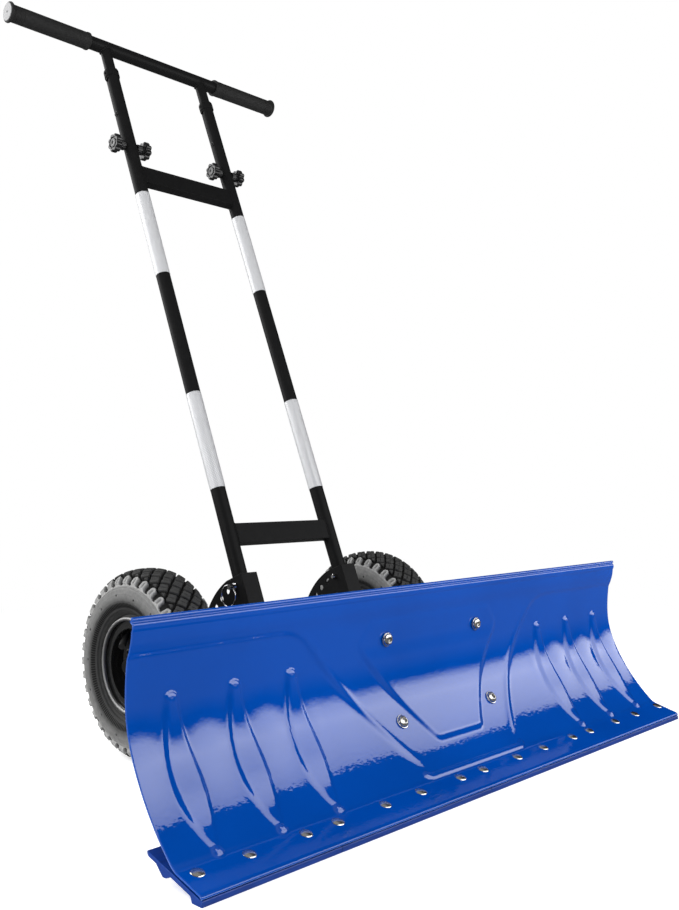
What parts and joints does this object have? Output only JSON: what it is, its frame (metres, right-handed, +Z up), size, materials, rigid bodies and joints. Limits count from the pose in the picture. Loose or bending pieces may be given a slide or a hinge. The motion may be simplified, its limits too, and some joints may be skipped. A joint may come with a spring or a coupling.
{
  "type": "wheeled snow shovel",
  "caption": "Wide curved snow blade on a two-wheel chassis, pushed by a tilting, telescoping twin-tube handle with a T-bar.",
  "frame": {"origin": "on the ground, below the middle of the overall box", "axes": "+X to the right seen from in front, -Y forward to the blade, +Z up"},
  "size_m": [0.914, 0.7422, 1.1253],
  "materials": {
    "blade_paint": "gloss powder coat",
    "strip_plastic": "satin moulded plastic",
    "frame_paint": "satin powder coat",
    "bright_steel": "zinc plated",
    "pin_steel": "polished",
    "dark_steel": "black zinc plated",
    "tyre_rubber": "matte",
    "tube_rubber": "matte",
    "rim_paint": "gloss paint",
    "grip_rubber": "matte",
    "cap_plastic": "matte",
    "knob_plastic": "satin",
    "reflective_tape": "retroreflective",
    "nylon": "matte"
  },
  "bodies": {
    "chassis": {"blade": "blade_paint", "wear_strips": "strip_plastic", "strip_bolts": "bright_steel", "strip_nuts": "bright_steel", "blade_bolts": "bright_steel", "blade_nuts": "bright_steel", "blade_mount_left": "frame_paint", "blade_mount_right": "frame_paint", "arm_left": "frame_paint", "arm_right": "frame_paint", "gussets": "frame_paint", "cross_tube": "frame_paint", "hinge_bracket_left": "frame_paint", "hinge_bracket_right": "frame_paint", "axle": "dark_steel", "axle_spacers": "frame_paint", "axle_washers": "dark_steel", "cotter_pins": "dark_steel", "pivot_bolts": "bright_steel", "pivot_nuts": "bright_steel"},
    "wheel_left": {"tyre_left": "tyre_rubber", "inner_tube_left": "tube_rubber", "rim_outer_left": "rim_paint", "rim_inner_left": "rim_paint", "hub_left": "dark_steel", "bearings_left": "dark_steel", "rim_bolts_left": "dark_steel", "valve_left": "tube_rubber"},
    "wheel_right": {"tyre_right": "tyre_rubber", "inner_tube_right": "tube_rubber", "rim_outer_right": "rim_paint", "rim_inner_right": "rim_paint", "hub_right": "dark_steel", "bearings_right": "dark_steel", "rim_bolts_right": "dark_steel", "valve_right": "tube_rubber"},
    "handle_frame": {"lower_tube_left": "frame_paint", "lower_tube_right": "frame_paint", "lower_crossbar": "frame_paint", "upper_crossbar": "frame_paint", "reflective_bands": "reflective_tape", "pivot_washers": "nylon", "clamp_stud_left": "bright_steel", "clamp_stud_right": "bright_steel"},
    "handle_top": {"handlebar": "frame_paint", "riser_left": "frame_paint", "riser_right": "frame_paint", "grip_left": "grip_rubber", "grip_right": "grip_rubber", "grip_caps": "cap_plastic"},
    "knob_outer_left": {"knob_outer_left": "knob_plastic"},
    "knob_inner_left": {"knob_inner_left": "knob_plastic"},
    "knob_outer_right": {"knob_outer_right": "knob_plastic"},
    "knob_inner_right": {"knob_inner_right": "knob_plastic"},
    "lock_pin_left": {"lock_pin_left": "pin_steel"},
    "lock_pin_right": {"lock_pin_right": "pin_steel"},
    "pin_ring_left": {"pin_ring_left": "pin_steel"},
    "pin_ring_right": {"pin_ring_right": "pin_steel"},
    "snap_button_left": {"snap_button_left": "dark_steel"},
    "snap_button_right": {"snap_button_right": "dark_steel"}
  },
  "joints": [
    {"name": "wheel_left_spin", "type": "hinge", "parent": "chassis", "child": "wheel_left", "pos_m": [-0.22, 0.0498, 0.127], "axis": [1, 0, 0], "continuous": true},
    {"name": "wheel_right_spin", "type": "hinge", "parent": "chassis", "child": "wheel_right", "pos_m": [0.22, 0.0498, 0.127], "axis": [1, 0, 0], "continuous": true},
    {"name": "handle_tilt", "type": "hinge", "parent": "chassis", "child": "handle_frame", "pos_m": [0, -0.0348, 0.135], "axis": [-1, 0, 0], "range_deg": [0, 42.8], "deforming": ["lock_pin_left", "lock_pin_right"]},
    {"name": "handle_telescope", "type": "slide", "parent": "handle_frame", "child": "handle_top", "axis": [0, 0.3714, 0.9285], "range_m": [0, 0.071], "deforming": ["snap_button_left", "snap_button_right"]},
    {"name": "knob_outer_left_turn", "type": "hinge", "parent": "handle_frame", "child": "knob_outer_left", "pos_m": [-0.125, 0.27845, 0.91818], "axis": [-1, 0, 0], "range_deg": [0, 450]},
    {"name": "knob_inner_left_turn", "type": "hinge", "parent": "handle_frame", "child": "knob_inner_left", "pos_m": [-0.073, 0.27845, 0.91818], "axis": [1, 0, 0], "range_deg": [0, 450]},
    {"name": "knob_outer_right_turn", "type": "hinge", "parent": "handle_frame", "child": "knob_outer_right", "pos_m": [0.125, 0.27845, 0.91818], "axis": [1, 0, 0], "range_deg": [0, 450]},
    {"name": "knob_inner_right_turn", "type": "hinge", "parent": "handle_frame", "child": "knob_inner_right", "pos_m": [0.073, 0.27845, 0.91818], "axis": [-1, 0, 0], "range_deg": [0, 450]},
    {"name": "lock_pin_left_pull", "type": "slide", "parent": "chassis", "child": "lock_pin_left", "axis": [-1, 0, 0], "range_m": [0, 0.045]},
    {"name": "pin_ring_left_flip", "type": "hinge", "parent": "lock_pin_left", "child": "pin_ring_left", "pos_m": [-0.119, 0.00085, 0.22414], "axis": [0, 0.891, 0.454], "range_deg": [0, 170]},
    {"name": "lock_pin_right_pull", "type": "slide", "parent": "chassis", "child": "lock_pin_right", "axis": [1, 0, 0], "range_m": [0, 0.045]},
    {"name": "pin_ring_right_flip", "type": "hinge", "parent": "lock_pin_right", "child": "pin_ring_right", "pos_m": [0.119, 0.00085, 0.22414], "axis": [0, -0.891, -0.454], "range_deg": [0, 170]},
    {"name": "snap_button_left_press", "type": "slide", "parent": "handle_top", "child": "snap_button_left", "axis": [1, 0, 0], "range_m": [0, 0.0039]},
    {"name": "snap_button_right_press", "type": "slide", "parent": "handle_top", "child": "snap_button_right", "axis": [1, 0, 0], "range_m": [0, 0.0039]}
  ]
}
